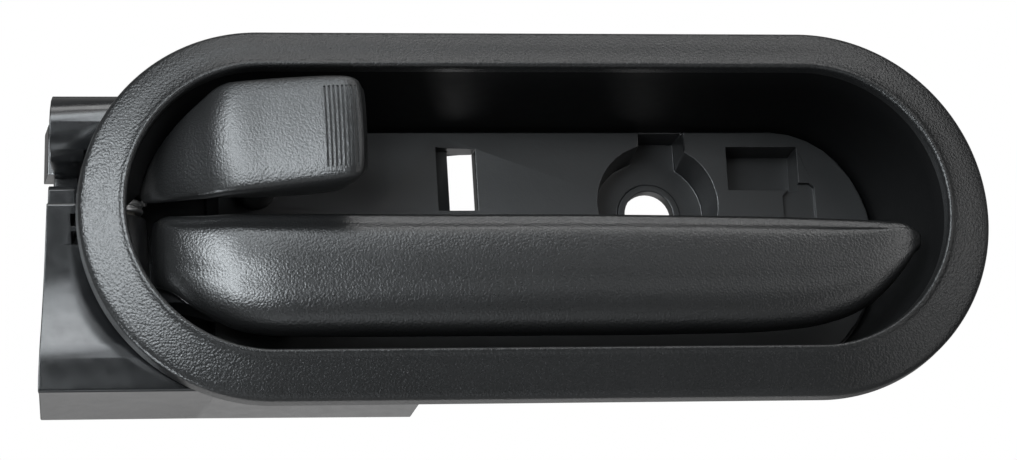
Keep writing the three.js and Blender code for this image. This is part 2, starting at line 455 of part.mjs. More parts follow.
function returnSpring() {
  // coils round the spacer, one leg bearing on the hub fin and one on the housing rib
  const R = 3.6, r = 0.55, turns = 2, pts = [];
  const z0 = 4.15, pitch = 1.14, n = 52;
  const a0 = THREE.MathUtils.degToRad(150);
  // lower leg leaves the coil towards the back and drops down behind the fin
  pts.push([HINGE_X - 5.2, HINGE_Y + 3.75, -1.2], [HINGE_X - 5.2, HINGE_Y + 3.75, 1.2], [HINGE_X - 5.0, HINGE_Y + 3.6, 3.0], [HINGE_X - 4.4, HINGE_Y + 3.0, 3.95]);
  for (let i = 0; i <= n; i++) {
    const a = a0 + (turns * 2 * Math.PI * i) / n + 0.12;
    pts.push([HINGE_X + R * Math.cos(a), HINGE_Y + R * Math.sin(a), z0 + (pitch * turns * i) / n]);
  }
  // upper leg runs back along the housing to its rib
  const ze = z0 + pitch * turns;
  pts.push([HINGE_X - 4.6, HINGE_Y + 2.6, ze + 0.05], [HINGE_X - 4.6, HINGE_Y + 9.6, ze + 0.1]);
  return wire(pts, r, 7, 150);
}
function detentLeaf() {
  const t = 0.4, c = [[-78.3, 27.6], [-78.3, 22.0], [-78.2, 19.6], [-77.9, 17.6], [-78.2, 15.4], [-78.1, 13.2]];
  const pts = [...c.map(([x, y]) => [x, y]), ...c.slice().reverse().map(([x, y]) => [x - t, y])];
  let s = slabXY(pts, 4.4, 7.6);
  return cut(s, rod("x", 26, 6.0, 1.3, -80, -77, 12));
}
const detentScrew = () => add(rod("x", 26, 6.0, 1.0, -80.7, -77.6, 12), rod("x", 26, 6.0, 1.9, -78.0, -77.0, 14));
function rivetPad(x, z, y0, y1, stem) {
  return add(rod("y", x, z, 3.6, y0, y1, 20), rod("y", x, z, 1.3, y1 - 0.2, stem, 12));
}
function tapScrew(x, z, head0, head1, tip, r, head = 2.9) {
  // pan head at head1 (back), shank towards the tip
  const c = head * 0.62;
  let s = add(rod("y", x, z, head, head0, head1, 18), rod("y", x, z, r, tip, head0 + 0.2, 12));
  return cut(s, box(x - c, x + c, head1 - 0.8, head1 + 1, z - 0.3, z + 0.3), box(x - 0.3, x + 0.3, head1 - 0.8, head1 + 1, z - c, z + c));
}

// ---------------------------------------------------------------- materials and assembly
const group = new THREE.Group();
group.name = "door_handle";
const plastic = (c, r) => ({ color: c, roughness: r, metalness: 0 });
const steel = { color: 0xb9bcc0, roughness: 0.3, metalness: 1 };
const GRAIN = plastic(0x2e3033, 0.55), SATIN = plastic(0x27292c, 0.38), DARK = plastic(0x1d1e20, 0.5), ACETAL = plastic(0xd9d6cc, 0.45), RUBBER = plastic(0x161616, 0.85);
function part(name, body, look) {
  const m = body.getMesh();
  const g = new THREE.BufferGeometry();
  g.setAttribute("position", new THREE.BufferAttribute(new Float32Array(m.vertProperties), 3));
  g.setIndex(new THREE.BufferAttribute(new Uint32Array(m.triVerts), 1));
  g.computeVertexNormals();
  const mesh = new THREE.Mesh(g, new THREE.MeshStandardMaterial(look));
  mesh.name = name;
  group.add(mesh);
}
part("bezel", makeBezel(), GRAIN);
part("base_carrier", makeCarrier(), SATIN);
part("hinge_pin", pin(), steel);
part("pin_retainer", retainer(), steel);
part("lower_pin_bush", flangedBush(-20.7, -17.0), ACETAL);
part("upper_pin_bush", flangedBush(16.7, 19.7), ACETAL);
part("spring_spacer", spacer(), ACETAL);
part("handle_stop_pad", rivetPad(-43, -11, 13.2, 15.9, 21.5), RUBBER);
part("lock_stop_pad", rivetPad(-46, 12, 15.0, 17.7, 23.0), RUBBER);
part("detent_leaf_spring", detentLeaf(), steel);
part("detent_screw", detentScrew(), steel);
["bezel_screw_upper_left", "bezel_screw_upper_right", "bezel_screw_end"].forEach((name, i) =>
  part(name, tapScrew(...BEZEL_SCREWS[i], 31.3, 33.2, 16, 1.45), steel));
part("handle_return_spring", returnSpring(), steel);

part("pull_handle", makePullHandle(), GRAIN);
part("handle_lever", makeLever(), DARK);
part("lever_lower_bush", flangedBush(-16.2, -8.6), ACETAL);
part("lever_upper_bush", flangedBush(-5.4, 2.9), ACETAL);

part("handle_screw_left", tapScrew(-24, -10.9, 7.5, 9.1, 3.2, 1.15), steel);
part("handle_screw_right", tapScrew(27, -10.9, 7.5, 9.1, 3.2, 1.15), steel);

part("lock_knob", makeKnob(), GRAIN);
part("lock_lever", makeLockLever(), DARK);
part("lock_lever_bush", flangedBush(7.6, 15.9), ACETAL);
part("lock_knob_screw", tapScrew(-48, 11.8, 3.6, 5.2, -2.0, 0.9, 1.6), steel);

// origin at the centre of the whole part's bounding box
group.updateMatrixWorld(true);
const centre = new THREE.Box3().setFromObject(group).getCenter(new THREE.Vector3());
group.position.sub(centre);

export default group;
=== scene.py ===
# Inside car door handle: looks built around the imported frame. Metres; helper functions take millimetres.
import math

import bpy
import numpy as np
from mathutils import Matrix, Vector


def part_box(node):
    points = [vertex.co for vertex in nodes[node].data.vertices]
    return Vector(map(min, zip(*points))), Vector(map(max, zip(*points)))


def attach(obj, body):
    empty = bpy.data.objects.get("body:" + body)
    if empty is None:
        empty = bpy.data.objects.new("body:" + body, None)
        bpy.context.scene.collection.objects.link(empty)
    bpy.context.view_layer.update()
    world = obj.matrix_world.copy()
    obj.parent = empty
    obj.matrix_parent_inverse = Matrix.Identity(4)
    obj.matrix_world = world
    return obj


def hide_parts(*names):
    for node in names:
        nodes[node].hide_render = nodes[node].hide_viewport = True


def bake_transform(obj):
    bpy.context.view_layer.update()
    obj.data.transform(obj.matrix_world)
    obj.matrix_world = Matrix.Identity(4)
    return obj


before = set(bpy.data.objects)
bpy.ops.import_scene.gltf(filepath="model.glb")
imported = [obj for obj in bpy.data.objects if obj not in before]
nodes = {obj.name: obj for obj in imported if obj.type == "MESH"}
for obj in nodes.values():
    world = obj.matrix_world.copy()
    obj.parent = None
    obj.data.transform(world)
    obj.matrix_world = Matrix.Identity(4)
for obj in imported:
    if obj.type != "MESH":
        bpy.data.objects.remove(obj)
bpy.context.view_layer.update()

# offset from the drawing frame (mm) to the row frame (mm): the bezel's left end is at -80 and its front at 0
_lo, _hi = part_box("bezel")
OX, OY, OZ = _lo.x * 1000 + 80.0, _lo.y * 1000, (_lo.z + _hi.z) * 500


def P(x, y, z):
    return Vector(((x + OX) / 1000, (y + OY) / 1000, (z + OZ) / 1000))


def mix(a, b, t):
    return a + (b - a) * t


def smooth(a, b, x):
    t = min(1, max(0, (x - a) / (b - a)))
    return t * t * (3 - 2 * t)


# ---------------------------------------------------------------- driving dimensions (mm)
HALF_LENGTH, HALF_HEIGHT, END_RX = 80, 32.8, 32.2
RIM_WIDTH, RIM_SHIFT, FLANGE_BACK, WALL = 8.0, 0.7, 6, 2.0
FLOOR_Y, PLATE_FRONT, PLATE_BACK = 27, 28.5, 31
HINGE_X, HINGE_Y = -71, 17.6
PIN_R = 2.0
BEZEL_SCREWS = [(-36, 28.9), (40, 28.9), (75.2, -2.5)]


# ---------------------------------------------------------------- mesh kit
def make(name, verts, faces, sharp=35):
    """A mesh object from millimetre points; faces may have any number of corners."""
    me = bpy.data.meshes.new(name)
    me.from_pydata([P(*v) for v in verts], [], faces)
    me.validate()
    ob = bpy.data.objects.new(name, me)
    bpy.context.scene.collection.objects.link(ob)
    tidy(ob, sharp)
    return ob


def tidy(ob, sharp=35):
    import bmesh
    bm = bmesh.new()
    bm.from_mesh(ob.data)
    bmesh.ops.recalc_face_normals(bm, faces=bm.faces)
    bm.to_mesh(ob.data)
    bm.free()
    for p in ob.data.polygons:
        p.use_smooth = True
    if sharp is not None:
        ob.data.set_sharp_from_angle(angle=math.radians(sharp))


def catmull(pts, steps, closed=False):
    """Centripetal Catmull-Rom through the points, with `steps` pieces to each span."""
    p = [np.array(q, float) for q in pts]
    n = len(p)
    out = []
    spans = n if closed else n - 1
    for i in range(spans):
        if closed:
            a, b, c, d = p[(i - 1) % n], p[i], p[(i + 1) % n], p[(i + 2) % n]
        else:
            a = p[i - 1] if i else 2 * p[0] - p[1]
            b, c = p[i], p[i + 1]
            d = p[i + 2] if i + 2 < n else 2 * p[-1] - p[-2]
        t1 = max(np.linalg.norm(b - a), 1e-6) ** 0.5
        t2 = t1 + max(np.linalg.norm(c - b), 1e-6) ** 0.5
        t3 = t2 + max(np.linalg.norm(d - c), 1e-6) ** 0.5
        for k in range(steps):
            t = t1 + (t2 - t1) * k / steps
            A1 = a * (t1 - t) / t1 + b * t / t1
            A2 = b * (t2 - t) / (t2 - t1) + c * (t - t1) / (t2 - t1)
            A3 = c * (t3 - t) / (t3 - t2) + d * (t - t2) / (t3 - t2)
            B1 = A1 * (t2 - t) / t2 + A2 * t / t2
            B2 = A2 * (t3 - t) / (t3 - t1) + A3 * (t - t1) / (t3 - t1)
            out.append(B1 * (t2 - t) / (t2 - t1) + B2 * (t - t1) / (t2 - t1))
    if not closed:
        out.append(p[-1])
    return out


def pchip(xs, ys, x):
    """Monotone cubic through stations."""
    xs, ys = np.array(xs, float), np.array(ys, float)
    h, d = np.diff(xs), np.diff(ys) / np.diff(xs)
    m = np.zeros(len(xs))
    for i in range(1, len(xs) - 1):
        if d[i - 1] * d[i] > 0:
            w1, w2 = 2 * h[i] + h[i - 1], h[i] + 2 * h[i - 1]
            m[i] = (w1 + w2) / (w1 / d[i - 1] + w2 / d[i])
    m[0], m[-1] = d[0], d[-1]
    i = int(np.clip(np.searchsorted(xs, x) - 1, 0, len(xs) - 2))
    t = (x - xs[i]) / h[i]
    return ((2 * t**3 - 3 * t**2 + 1) * ys[i] + (t**3 - 2 * t**2 + t) * h[i] * m[i]
            + (-2 * t**3 + 3 * t**2) * ys[i + 1] + (t**3 - t**2) * h[i] * m[i + 1])


def grid_faces(n, m, close_n, close_m, start=0):
    f = []
    for i in range(n if close_n else n - 1):
        for j in range(m if close_m else m - 1):
            a, b = start + i * m + j, start + i * m + (j + 1) % m
            c, d = start + ((i + 1) % n) * m + j, start + ((i + 1) % n) * m + (j + 1) % m
            f.append((a, b, d, c))
    return f


def loft(name, rings, sharp=35):
    m = len(rings[0])
    verts = [tuple(p) for r in rings for p in r]
    faces = grid_faces(len(rings), m, False, True)
    faces.append(tuple(range(m)))
    faces.append(tuple(range((len(rings) - 1) * m, len(rings) * m)))
    return make(name, verts, faces, sharp)


def prism(pts, plane, a, b):
    """verts, faces of a straight slab: outline pts in plane 'xy', 'xz' or 'yz', from a to b along the third axis."""
    put = {"xy": lambda p, q, t: (p, q, t), "xz": lambda p, q, t: (p, t, q), "yz": lambda p, q, t: (t, p, q)}[plane]
    n = len(pts)
    v = [put(p, q, a) for p, q in pts] + [put(p, q, b) for p, q in pts]
    f = [tuple(range(n)), tuple(range(n, 2 * n))] + [(i, (i + 1) % n, n + (i + 1) % n, n + i) for i in range(n)]
    return v, f


def turned(profile, centre, axis, n=48):
    """verts, faces of a turned solid: profile (radius, height) pairs, closed where it isn't on the axis."""
    v, f, rows = [], [], []
    put = {"x": lambda r, h, a: (h, centre[0] + r * math.cos(a), centre[1] + r * math.sin(a)),
           "y": lambda r, h, a: (centre[0] + r * math.cos(a), h, centre[1] + r * math.sin(a)),
           "z": lambda r, h, a: (centre[0] + r * math.cos(a), centre[1] + r * math.sin(a), h)}[axis]
    for r, h in profile:
        if r < 1e-6:
            rows.append([len(v)])
            v.append(put(0, h, 0))
        else:
            rows.append(list(range(len(v), len(v) + n)))
            v += [put(r, h, 2 * math.pi * k / n) for k in range(n)]
    pairs = list(zip(rows, rows[1:]))
    if len(rows[0]) > 1 and len(rows[-1]) > 1:
        pairs.append((rows[-1], rows[0]))
    for a, b in pairs:
        for k in range(n):
            l = (k + 1) % n
            if len(a) == 1 and len(b) > 1:
                f.append((a[0], b[k], b[l]))
            elif len(b) == 1 and len(a) > 1:
                f.append((a[k], a[l], b[0]))
            elif len(a) > 1:
                f.append((a[k], a[l], b[l], b[k]))
    return v, f


def merged(parts):
    v, f = [], []
    for pv, pf in parts:
        k = len(v)
        v += list(pv)
        f += [tuple(i + k for i in q) for q in pf]
    return v, f


def carve(ob, cutters, mode="DIFFERENCE"):
    """Boolean of ob with each (verts, faces) tool, applied to its mesh."""
    for i, (v, f) in enumerate(cutters):
        tool = make(f"tool_{i}", v, f, None)
        md = ob.modifiers.new("carve", "BOOLEAN")
        md.operation, md.object, md.solver = mode, tool, "EXACT"
        bpy.context.view_layer.update()
        dg = bpy.context.evaluated_depsgraph_get()
        me = bpy.data.meshes.new_from_object(ob.evaluated_get(dg))
        ob.modifiers.clear()
        old = ob.data
        ob.data = me
        bpy.data.meshes.remove(old)
        bpy.data.objects.remove(tool)
    tidy(ob)


def applied(ob):
    """Bakes the object's modifiers into its mesh."""
    bpy.context.view_layer.update()
    dg = bpy.context.evaluated_depsgraph_get()
    me = bpy.data.meshes.new_from_object(ob.evaluated_get(dg))
    ob.modifiers.clear()
    old = ob.data
    ob.data = me
    bpy.data.meshes.remove(old)


def soften(ob, width, angle=30, segments=2, crisp=()):
    """Small rounded edges, with the flats beside them kept flat in shading. Edges inside a crisp box (mm) get only its share of the width."""
    import bmesh
    bm = bmesh.new()
    bm.from_mesh(ob.data)
    turn = [e.calc_face_angle(0.0) for e in bm.edges]
    mids = [(e.verts[0].co + e.verts[1].co) * 500 - Vector((OX, OY, OZ)) for e in bm.edges]
    bm.free()
    weight = ob.data.attributes.new("bevel_weight_edge", "FLOAT", "EDGE")
    inside = lambda c: min([1.0] + [share for share, box in crisp if all(a <= q <= b for q, (a, b) in zip(c, box))])
    weight.data.foreach_set("value", [inside(c) if t > math.radians(angle) else 0.0 for t, c in zip(turn, mids)])
    md = ob.modifiers.new("edge", "BEVEL")
    md.width, md.segments, md.limit_method = width / 1000, segments, "WEIGHT"
    md.use_clamp_overlap, md.miter_outer = False, "MITER_ARC"
    applied(ob)
    for p in ob.data.polygons:
        p.use_smooth = True
    ob.data.set_sharp_from_angle(angle=math.radians(42))
    md = ob.modifiers.new("flats", "WEIGHTED_NORMAL")
    md.keep_sharp, md.mode, md.weight = True, "FACE_AREA", 50
    applied(ob)


def from_cad(node, name, bevel=0.25, angle=30, segments=2, crisp=()):
    """A piece made from a CAD node's own shape, with its edges rounded."""
    import bmesh
    me = nodes[node].data.copy()
    ob = bpy.data.objects.new(name, me)
    bpy.context.scene.collection.objects.link(ob)
    me.materials.clear()
    bm = bmesh.new()
    bm.from_mesh(me)
    bmesh.ops.remove_doubles(bm, verts=bm.verts, dist=2e-6)
    bmesh.ops.recalc_face_normals(bm, faces=bm.faces)
    bm.to_mesh(me)
    bm.free()
    soften(ob, bevel, angle, segments, crisp)
    return ob


# ---------------------------------------------------------------- materials
def new_mat(name):
    m = bpy.data.materials.new(name)
    m.use_nodes = True
    nt = m.node_tree
    nt.nodes.clear()
    out = nt.nodes.new("ShaderNodeOutputMaterial")
    b = nt.nodes.new("ShaderNodeBsdfPrincipled")
    nt.links.new(b.outputs[0], out.inputs[0])
    tc = nt.nodes.new("ShaderNodeTexCoord")
    return m, nt, b, tc


def link(nt, a, b):
    nt.links.new(a, b)


def noise(nt, tc, scale, detail=3.0, rough=0.55, kind="noise", distort=0.0):
    n = nt.nodes.new("ShaderNodeTexNoise")
    n.inputs["Scale"].default_value = scale
    n.inputs["Detail"].default_value = detail
    n.inputs["Roughness"].default_value = rough
    n.inputs["Distortion"].default_value = distort
    link(nt, tc.outputs["Object"], n.inputs["Vector"])
    return n


def ramp(nt, src, lo, hi, a, b):
    r = nt.nodes.new("ShaderNodeMapRange")
    r.inputs["From Min"].default_value, r.inputs["From Max"].default_value = lo, hi
    r.inputs["To Min"].default_value, r.inputs["To Max"].default_value = a, b
    link(nt, src, r.inputs["Value"])
    return r.outputs["Result"]


def colour_mix(nt, fac, c1, c2):
    m = nt.nodes.new("ShaderNodeMix")
    m.data_type = "RGBA"
    link(nt, fac, m.inputs["Factor"])
    m.inputs["A"].default_value = (*c1, 1)
    m.inputs["B"].default_value = (*c2, 1)
    return m.outputs["Result"]


def math_node(nt, op, a, b):
    m = nt.nodes.new("ShaderNodeMath")
    m.operation = op
    for i, v in enumerate((a, b)):
        if isinstance(v, (int, float)):
            m.inputs[i].default_value = v
        else:
            link(nt, v, m.inputs[i])
    return m.outputs[0]


def grained(name, base, rough, depth, size, spec=0.5):
    """Black moulded plastic with a fine leather grain: pebbles parted by creases."""
    m, nt, b, tc = new_mat(name)
    v = nt.nodes.new("ShaderNodeTexVoronoi")
    v.feature = "SMOOTH_F1"
    v.inputs["Scale"].default_value = size
    v.inputs["Smoothness"].default_value = 0.55
    v.inputs["Randomness"].default_value = 1.0
    warp = noise(nt, tc, size * 0.6, 2.0, 0.5)
    add = nt.nodes.new("ShaderNodeVectorMath")
    add.operation = "MULTIPLY_ADD"
    link(nt, warp.outputs["Color"], add.inputs[0])
    add.inputs[1].default_value = (0.00025, 0.00025, 0.00025)
    link(nt, tc.outputs["Object"], add.inputs[2])
    link(nt, add.outputs[0], v.inputs["Vector"])
    fine = noise(nt, tc, size * 2.1, 3.0, 0.6)
    h = math_node(nt, "ADD", math_node(nt, "MULTIPLY", v.outputs["Distance"], -1.1), math_node(nt, "MULTIPLY", fine.outputs["Fac"], 0.45))
    bump = nt.nodes.new("ShaderNodeBump")
    bump.inputs["Strength"].default_value = 1.0
    bump.inputs["Distance"].default_value = depth / 1000
    link(nt, h, bump.inputs["Height"])
    link(nt, bump.outputs["Normal"], b.inputs["Normal"])
    tone = noise(nt, tc, 60, 3.0, 0.5)
    link(nt, colour_mix(nt, ramp(nt, tone.outputs["Fac"], 0.3, 0.7, 0, 1), [c * 0.92 for c in base], [c * 1.1 for c in base]), b.inputs["Base Color"])
    link(nt, ramp(nt, fine.outputs["Fac"], 0.3, 0.7, rough - 0.05, rough + 0.05), b.inputs["Roughness"])
    b.inputs["Specular IOR Level"].default_value = spec
    return m


def satin(name, base, rough, spec=0.5, streak=0.02, grit=0.004):
    """Smooth moulded plastic with faint flow variation and a very fine tool texture."""
    m, nt, b, tc = new_mat(name)
    flow = noise(nt, tc, 45, 3.0, 0.55, distort=0.6)
    fine = noise(nt, tc, 2600, 2.0, 0.6)
    mid = noise(nt, tc, 420, 3.0, 0.6)
    link(nt, colour_mix(nt, ramp(nt, flow.outputs["Fac"], 0.3, 0.7, 0, 1), [c * 0.93 for c in base], [c * 1.08 for c in base]), b.inputs["Base Color"])
    link(nt, ramp(nt, mid.outputs["Fac"], 0.3, 0.7, rough - streak, rough + streak), b.inputs["Roughness"])
    bump = nt.nodes.new("ShaderNodeBump")
    bump.inputs["Strength"].default_value = 1.0
    bump.inputs["Distance"].default_value = grit / 1000
    link(nt, math_node(nt, "ADD", fine.outputs["Fac"], math_node(nt, "MULTIPLY", mid.outputs["Fac"], 1.5)), bump.inputs["Height"])
    link(nt, bump.outputs["Normal"], b.inputs["Normal"])
    b.inputs["Specular IOR Level"].default_value = spec
    return m


def metal(name, base, rough, drawn=1.0):
    """Drawn or plated steel: fine lines and slight tone changes."""
    m, nt, b, tc = new_mat(name)
    n = noise(nt, tc, 900, 4.0, 0.6)
    patches = noise(nt, tc, 130, 3.0, 0.5)
    link(nt, colour_mix(nt, ramp(nt, patches.outputs["Fac"], 0.35, 0.65, 0, 1), [c * 0.85 for c in base], base), b.inputs["Base Color"])
    link(nt, ramp(nt, n.outputs["Fac"], 0.3, 0.7, rough - 0.06 * drawn, rough + 0.08 * drawn), b.inputs["Roughness"])
    bump = nt.nodes.new("ShaderNodeBump")
    bump.inputs["Strength"].default_value = 0.5
    bump.inputs["Distance"].default_value = 0.00001
    link(nt, n.outputs["Fac"], bump.inputs["Height"])
    link(nt, bump.outputs["Normal"], b.inputs["Normal"])
    b.inputs["Metallic"].default_value = 1.0
    return m


MAT = {
    "rim": grained("bezel_grain", (0.010, 0.0102, 0.0104), 0.31, 0.055, 2500, 0.6),
    # bowl wall: the near-black base colour is painted shade; the smoother, duller finish is real
    "wall": satin("bowl_wall_painted_shade", (0.003, 0.003, 0.0032), 0.5, spec=0.15, grit=0.008),
    "handle": grained("handle_grain", (0.010, 0.0102, 0.0104), 0.31, 0.040, 2600, 0.85),
    "knob": grained("knob_grain", (0.010, 0.0102, 0.0104), 0.33, 0.034, 2700, 0.65),
    "housing": satin("housing_satin", (0.008, 0.0084, 0.009), 0.22, spec=0.9, streak=0.03),
    # bowl floor: the paler base colour is painted light; the rougher finish is real
    "floor": satin("bowl_floor_painted_light", (0.012, 0.0125, 0.013), 0.42, spec=0.85, grit=0.012),
    "lever": satin("lever_plastic", (0.009, 0.009, 0.0095), 0.42, grit=0.008),
    "acetal": satin("acetal", (0.55, 0.53, 0.48), 0.42, grit=0.003),
    "rubber": satin("stop_rubber", (0.012, 0.012, 0.012), 0.75, grit=0.02),
    "pin": metal("pin_steel", (0.62, 0.62, 0.63), 0.26),
    "spring": metal("spring_wire", (0.88, 0.88, 0.88), 0.40),
    "leaf": metal("leaf_steel", (0.55, 0.56, 0.58), 0.30),
    "screw": metal("screw_zinc", (0.58, 0.58, 0.60), 0.32),
}


def dress(ob, key):
    ob.data.materials.clear()
    ob.data.materials.append(MAT[key])


def finish_piece(ob, key, body, replaces, slot):
    dress(ob, key)
    if body:
        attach(ob, body)
    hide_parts(*replaces)
    return ob


# ---------------------------------------------------------------- bezel
def outline(arc, run):
    """Points and inward normals round the bezel outline: straight above and below, elliptic ends."""
    pts, flat = [], HALF_LENGTH - END_RX

    def put(x, z, nx, nz):
        l = math.hypot(nx, nz)
        pts.append((x, z, -nx / l, -nz / l))
    for i in range(arc):
        a = -math.pi / 2 + math.pi * i / arc
        put(flat + END_RX * math.cos(a), HALF_HEIGHT * math.sin(a), math.cos(a) / END_RX, math.sin(a) / HALF_HEIGHT)
    for i in range(run):
        put(mix(flat, -flat, i / run), HALF_HEIGHT, 0, 1)
    for i in range(arc):
        a = math.pi / 2 + math.pi * i / arc
        put(-flat + END_RX * math.cos(a), HALF_HEIGHT * math.sin(a), math.cos(a) / END_RX, math.sin(a) / HALF_HEIGHT)
    for i in range(run):
        put(mix(-flat, flat, i / run), -HALF_HEIGHT, 0, -1)
    return pts


def wall_at(x, z, nx, nz):
    nz, nx = -nz, -nx
    rim = RIM_WIDTH - RIM_SHIFT * nz + 0.2 * abs(nx)
    lean = 2.9 + 2.9 * max(0, nx) ** 2
    left, up = smooth(-52, -60, x), smooth(2, 9, z)
    return (rim, mix(rim + lean, rim + mix(0.3, 2.7, up), left),
            mix(PLATE_FRONT - 0.3, mix(7.2, 8.6, up), left))


def make_bezel():
    rings = []
    for x, z, nx, nz in outline(144, 96):
        rim, foot, depth = wall_at(x, z, nx, nz)
        mid = mix(rim, foot, 0.5)
        # rounded outer edge, face sloping up to the lip, then the small lip radius
        front = catmull([(0.0, 3.5), (0.05, 3.1), (0.25, 2.72), (0.62, 2.42), (1.2, 2.15), (rim * 0.35, 1.57), (rim * 0.6, 0.95), (rim - 1.6, 0.38),
                         (rim - 1.15, 0.13), (rim - 0.75, 0.0), (rim - 0.4, 0.16), (rim - 0.14, 0.72), (rim - 0.02, 1.7), (rim, 2.8)], 4)
        front = [(max(0.0, o), max(0.0, y)) for o, y in front]
        wall = [(mix(rim, foot, (y - 2.8) / (depth - 2.8)), y) for y in np.linspace(2.8, depth, 9)[1:]]
        back = [(foot - WALL, depth), (mid - WALL, mix(2.8, depth, 0.5)), (rim - WALL, 5.0), (rim - WALL - 0.6, 3.0), (2.9, 4.2), (1.8, 4.8), (1.8, FLANGE_BACK)]
        prof = [(0.12, FLANGE_BACK), (0, 5.88), (0, 4.6)] + front + wall + back
        rings.append([(x + nx * o, y, z + nz * o) for o, y in prof])
    n, m = len(rings), len(rings[0])
    parts = [([p for r in rings for p in r], grid_faces(n, m, True, True))]
    for x, z in BEZEL_SCREWS:
        parts.append(turned([(2.9, 3.7), (2.9, 27.7), (2.5, 28.2), (1.75, 28.2), (1.75, 8.0), (0, 7.4), (0, 3.7)], (x, z), "y", 40))
    for x in (-36, 40):
        parts.append(prism([(6, 26.4), (27.4, 23.9), (27.4, 26.8), (6, 27.4)], "yz", x - 0.7, x + 0.7))
    parts.append(prism([(71.0, 10), (68.2, 27.4), (73, 27.4), (73, 10)], "xy", -3.2, -1.8))
    for z in (1.5, -1.7):
        parts.append(prism([(-78.9, 3.6), (-77.3, 3.6), (-77.3, 14.4), (-78.4, 14.4), (-79.3, 13.4), (-78.9, 12.9)], "xy", z - 0.75, z + 0.75))
    v, f = merged(parts)
    return make("bezel_moulding", v, f, 38)


bezel = finish_piece(make_bezel(), "rim", "base", ["bezel"], "grained_plastic")
# the bowl's inner wall, below the lip, is smoother and duller than the grained face; its near-black base colour is
# painted shade for the shade inside the bowl
bezel.data.materials.append(MAT["wall"])
for face in bezel.data.polygons:
    c = sum((bezel.data.vertices[i].co for i in face.vertices), Vector()) / len(face.vertices) * 1000
    if c.y - OY > 2.4 and math.hypot(max(0, abs(c.x - OX) - 47.8) / 24.6, (c.z - OZ) / 25.6) < 1.02:
        face.material_index = 1

# ---------------------------------------------------------------- base carrier
carrier = from_cad("base_carrier", "carrier_moulding", bevel=0.22, angle=28, segments=2,
                   crisp=[(0.3, ((38, 60), (26.5, 36), (0, 24))), (0.0, ((-14, 0), (26.5, 32), (3, 19))), (0.3, ((-14, 60), (26.5, 29), (-26, -8)))])
finish_piece(carrier, "housing", "base", ["base_carrier"], "housing_plastic")
# the plate behind the bowl has a finer, duller tool finish than the housing at the hinge end; its paler base colour is
# painted light
carrier.data.materials.append(MAT["floor"])
for face in carrier.data.polygons:
    c = sum((carrier.data.vertices[i].co for i in face.vertices), Vector()) / len(face.vertices) * 1000
    if c.x - OX > -52 and c.y - OY > 24:
        face.material_index = 1

# ---------------------------------------------------------------- pull handle
# stations: x, front y, lower z, upper z, crown, side depth
HANDLE = [
    (-66.5, 14.0, -9.8, 2.3, 0.4, 2.0),
    (-65.8, 11.5, -10.8, 2.6, 0.6, 2.6),
    (-64.4, 9.2, -12.2, 2.4, 0.9, 3.4),
    (-61.8, 6.9, -14.8, 2.1, 1.1, 4.4),
    (-58.0, 4.7, -17.4, 1.7, 1.4, 5.4),
    (-52.0, 3.0, -19.5, 1.3, 1.7, 6.2),
    (-46.0, 2.2, -20.3, 1.1, 1.9, 6.4),
    (-38.0, 1.8, -20.5, 1.0, 1.9, 6.6),
    (-20.0, 1.2, -20.7, 0.7, 2.0, 6.8),
    (10.0, 0.9, -20.8, 0.5, 2.0, 6.8),
    (34.0, 1.1, -20.6, 0.2, 2.0, 6.6),
    (46.0, 1.5, -19.8, 0.0, 1.9, 6.2),
    (53.0, 1.9, -18.2, -0.2, 1.7, 6.0),
    (58.4, 2.3, -15.7, -0.4, 1.4, 5.6),
    (62.6, 2.8, -12.3, -0.6, 1.1, 5.1),
    (65.8, 3.5, -8.9, -1.1, 0.8, 4.5),
    (67.5, 4.5, -6.4, -2.2, 0.5, 3.6),
]
KNOB = [
    (-67.9, 12.0, 4.9, 8.4, 0.2, 1.6),
    (-66.7, 9.6, 4.3, 11.6, 0.3, 1.8),
    (-64.8, 6.9, 3.8, 14.8, 0.5, 2.2),
    (-62.2, 4.2, 3.4, 17.8, 0.7, 2.6),
    (-59.0, 1.5, 3.1, 20.4, 0.8, 3.4),
    (-56.4, -0.6, 3.0, 22.0, 0.9, 4.6),
    (-53.6, -2.0, 3.0, 22.8, 0.8, 6.0),
    (-48.0, -3.4, 3.2, 22.9, 0.7, 7.8),
    (-42.0, -4.9, 3.5, 22.8, 0.6, 9.4),
    (-36.6, -6.2, 3.8, 22.6, 0.6, 10.6),
    (-33.8, -6.6, 4.1, 22.4, 0.6, 11.0),
    (-32.0, -6.2, 4.6, 21.9, 0.6, 10.6),
    (-31.1, -4.9, 5.6, 20.9, 0.5, 9.2),
]


def finer(stations, xs):
    cols = list(zip(*stations))
    return [tuple([x] + [float(pchip(cols[0], c, x)) for c in cols[1:]]) for x in xs]


def spaced(stations, per):
    xs = []
    for (a, *_), (b, *_) in zip(stations, stations[1:]):
        k = max(3, int(math.ceil((b - a) / per)))
        xs += [mix(a, b, i / k) for i in range(k)]
    return xs + [stations[-1][0]]


